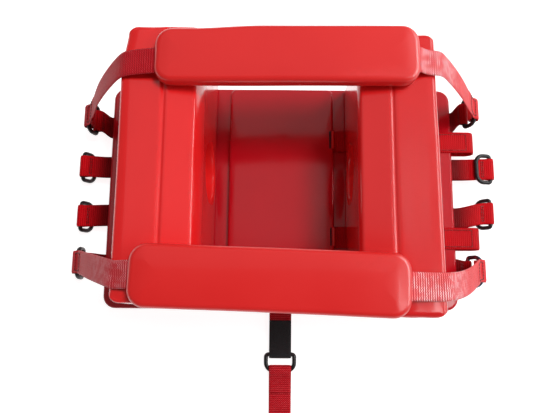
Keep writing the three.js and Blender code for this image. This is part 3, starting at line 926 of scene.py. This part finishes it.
# ---------------------------------------------------------------- rings
def ring_path():
    """A D-ring's wire line: flat bar along Y at x = 0, bow towards +X."""
    corners = [((RING_DEPTH - BOW_CORNER, -RING_HALF + BOW_CORNER), BOW_CORNER, -90),
               ((RING_DEPTH - BOW_CORNER, RING_HALF - BOW_CORNER), BOW_CORNER, 0),
               ((BAR_CORNER, RING_HALF - BAR_CORNER), BAR_CORNER, 90),
               ((BAR_CORNER, -RING_HALF + BAR_CORNER), BAR_CORNER, 180)]
    path = []
    for centre, radius, start in corners:
        for turn in np.linspace(0, 90, 9):
            a = math.radians(start + turn)
            path.append((centre[0] + radius * math.cos(a), centre[1] + radius * math.sin(a)))
    return np.array(path)


def ring_mesh():
    path = ring_path()
    ahead = np.roll(path, -1, 0) - np.roll(path, 1, 0)
    ahead /= np.linalg.norm(ahead, axis=1)[:, None]
    out = np.stack([ahead[:, 1], -ahead[:, 0]], 1)
    turns = np.arange(14) / 14 * 2 * math.pi
    rings = [[(*(p + WIRE * math.cos(a) * n), WIRE * math.sin(a)) for a in turns]
             for p, n in zip(path, out)]
    return loft(rings, closed_rows=True)


def side_ring(side_name, tab_name, tab):
    places, faces = ring_mesh()
    tilt = math.radians(tab["tilt"])
    x = tab["bar"] + places[:, 0] * math.cos(tilt) - places[:, 2] * math.sin(tilt)
    z = TAB_Z + places[:, 0] * math.sin(tilt) + places[:, 2] * math.cos(tilt)
    places = np.stack([side_of(side_name) * x, places[:, 1] + tab["ring"], z], 1)
    nickel = (side_name, tab_name) == ("right", "near")
    material, slot = ("nickel", "nickel") if nickel else ("black", "black_ring")
    node = f"{side_name}_ring_{tab_name}"
    make_piece(f"{side_name}_d_ring_{tab_name}", places, faces, material, f"{node}_body",
               replaces=[node])


# ---------------------------------------------------------------- tabs and legs
def side_tab(side_name, tab_name, tab):
    side = side_of(side_name)
    line = np.array([(x, TAB_Z) for x in np.linspace(BOARD_EDGE_X - ROOT, tab["bar"], 16)])
    share = (line[:, 0] - BOARD_EDGE_X) / (tab["bar"] - BOARD_EDGE_X)
    line[:, 1] += 0.0004 * np.sin(np.clip(share, 0, 1) * math.pi * 2 + tab["ring"] * 90)
    path, outer = looped(line, BAR_EYE, math.inf)

    def drift(x):
        return (tab["root"] - tab["ring"]) * (1 - smoothstep(x, BOARD_EDGE_X, tab["bar"] - 0.004))

    spaced = side_strap(path, side, tab["ring"], drift)
    places, faces, uv = ribbon(spaced, (0, 1, 0))
    node = f"{side_name}_tab_{tab_name}"
    make_piece(f"{side_name}_loop_{tab_name}", places, faces, "tab", "base", uv,
               replaces=[node])
    over = side_strap(outer, side, tab["ring"], drift)
    length = line_length(over)
    rows = cross_rows(over, length - 0.0055) + cross_rows(over, length - 0.0075)
    stitched(f"{side_name}_tab_stitching_{tab_name}", rows, "base")


# Which webbing copy each leg gets: the right legs' brighter copy is painted light from the right, and
# the left chin leg's pale dots are painted glints.
LEG_CLOTHS = {
    "left": {"forehead": "webbing", "chin": "glint_dotted"},
    "right": {"forehead": "lit_side", "chin": "lit_side"},
}


def leg(side_name, pad_name, pad, tab):
    side = side_of(side_name)
    block = BLOCKS[side_name]
    turn = pad["turn"]
    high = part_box(f"{side_name}_{pad_name}_strap")[1]
    start = PAD_LENGTH / 2 + side * pad["x"]
    pad_y = pad["y"] + pad["legs"][side_name] + side * math.sin(turn) * PAD_LENGTH / 2
    block_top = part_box(f"{side_name}_head_block")[1].z
    corner = block["edge"] + BLOCK_TOP_WIDTH
    tilt = math.radians(tab["tilt"])
    bow_x = tab["bar"] + (RING_DEPTH - BOW_DROP) * math.cos(tilt) - BOW_IN
    bow_z = TAB_Z + (RING_DEPTH - BOW_DROP) * math.sin(tilt)
    first_z = high.z - STRAP / 2
    edge = np.array((corner + 0.002 + 0.003 * side, block_top - 0.002))
    bow = np.array((bow_x, bow_z))

    line = curve_through([
        (start - 0.010, first_z),
        (start, first_z),
        (corner - 0.009, block_top + 0.0026),
        edge,
        edge + (bow - edge) * 0.14 + 0.0023 - 0.0003 * side,
        edge + (bow - edge) * 0.5 + 0.0037 - 0.0007 * side,
        edge + (bow - edge) * 0.85 + 0.0015,
        bow,
    ], 90)
    path, outer = looped(line, BOW_EYE, FOLD)

    def drift(x):
        share = np.clip((x - corner + 0.004) / (bow_x - corner), 0, 1)
        return (pad_y - tab["ring"]) * (1 - share ** pad["late"][side_name])

    spaced = side_strap(path, side, tab["ring"], drift)
    places, faces, uv = ribbon(spaced, (0, 1, 0), square=True)
    cloth = LEG_CLOTHS[side_name][pad_name]
    piece = make_piece(f"{side_name}_{pad_name}_leg", places, faces, cloth, None, uv,
                       replaces=[f"{side_name}_{pad_name}_strap"])
    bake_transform(piece)
    over = side_strap(outer, side, tab["ring"], drift)
    length = line_length(over)
    sewn = (length - FOLD, length - 0.005)
    rows = cross_rows(over, sewn[0]) + cross_rows(over, sewn[1]) + seams(over, *sewn)
    thread = stitched(f"{side_name}_{pad_name}_leg_stitching", rows, None)
    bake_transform(thread)


# ---------------------------------------------------------------- board straps
def board_strap(name, strap):
    low, top = BOARD_STRAP_Z
    radius = (top - low) / 2
    rest_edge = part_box("headrest_pad")[1].x
    bend = strap["end"] - radius
    line = [(rest_edge - 0.007, top)] + [(x, top) for x in np.linspace(rest_edge, bend, 40)]
    line += [(bend + radius * math.sin(a), (top + low) / 2 + radius * math.cos(a))
             for a in np.linspace(0, math.pi, 16)[1:-1]]
    line += [(x, low) for x in np.linspace(bend, BOARD_EDGE_X - ROOT, 8)]
    spaced = np.array([(x, strap["y"], z) for x, z in line])
    places, faces, uv = ribbon(spaced, (0, 1, 0))
    make_piece(f"board_webbing_{name}", places, faces, "board_strap", "base", uv,
               replaces=[f"board_strap_{name}"])
    length = line_length(spaced[:41])
    last, first = (length - back for back in BOARD_STRAP_SEAM)
    rows = cross_rows(spaced, last) + cross_rows(spaced, first) + seams(spaced, first, last)
    stitched(f"board_stitching_{name}", rows, "base")


# ---------------------------------------------------------------- tail
def towards_tail(line):
    """Turns [x, z] points drawn along +X to run along -Y."""
    return np.array([[0.0, -x, z] for x, z in line])


def tail():
    edge = -BOARD_LOW.y
    tab_end = edge + 0.012
    bow = TAIL_BAR + RING_DEPTH - TAIL_BOW_IN
    tab_corners = [(edge - 0.004, 0.012), (edge + 0.003, 0.0118), (tab_end, 0.0096)]
    tab_line = resample(np.array(tab_corners), 14)
    places, faces, uv = ribbon(towards_tail(tab_line), (1, 0, 0))
    make_piece("tail_webbing_tab", places, faces, "webbing", "base", uv,
               replaces=["tail_tab"])
    hook_line = curve_through([(tab_end + 0.0003, 0.0092), (tab_end + 0.014, 0.0069),
                               (TAIL_BAR - 0.012, TAIL_Z), (TAIL_BAR, TAIL_Z)], 30)
    hook_path = looped(hook_line, BAR_EYE, math.inf)[0]
    places, faces, uv = ribbon(towards_tail(hook_path), (1, 0, 0))
    make_piece("tail_hook_tape", places, faces, "hook", "base", uv,
               replaces=["tail_hook_strap"])
    places, faces = ring_mesh()
    places = np.stack([places[:, 1], -(TAIL_BAR + places[:, 0]), places[:, 2] + TAIL_Z], 1)
    make_piece("tail_d_ring", places, faces, "black", "tail_ring_body",
               replaces=["tail_ring"])
    line = curve_through([
        (bow + TAIL_LENGTH, TAIL_FLOOR),
        (bow + 0.12, TAIL_FLOOR),
        (bow + 0.05, TAIL_FLOOR),
        (bow + 0.036, 0.0019),
        (bow + 0.014, TAIL_Z - 0.001),
        (bow, TAIL_Z),
    ], 110)
    path = towards_tail(looped(line, TAIL_EYE, FOLD)[0])
    places, faces, uv = ribbon(path, (1, 0, 0))
    piece = make_piece("tail_strap", places, faces, "webbing", None, uv,
                       replaces=["tail_webbing"])
    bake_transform(piece)


# ---------------------------------------------------------------- assembly
add_camera()
add_surroundings()
tail()
base_board()
headrest()
slit_lips()
tape_strips()
for seed, (block_name, block_size) in enumerate(BLOCKS.items()):
    head_block(block_name, block_size, 11 + seed)
for seed, (pad_name, pad_size) in enumerate(PADS.items()):
    pad_piece(pad_name, pad_size, 21 + seed)
for strap_name, strap_size in BOARD_STRAPS.items():
    board_strap(strap_name, strap_size)
for side_name, side_tabs in TABS.items():
    for tab_name, tab_size in side_tabs.items():
        side_tab(side_name, tab_name, tab_size)
        side_ring(side_name, tab_name, tab_size)
    leg(side_name, "forehead", PADS["forehead"], side_tabs["far"])
    leg(side_name, "chin", PADS["chin"], side_tabs["near"])
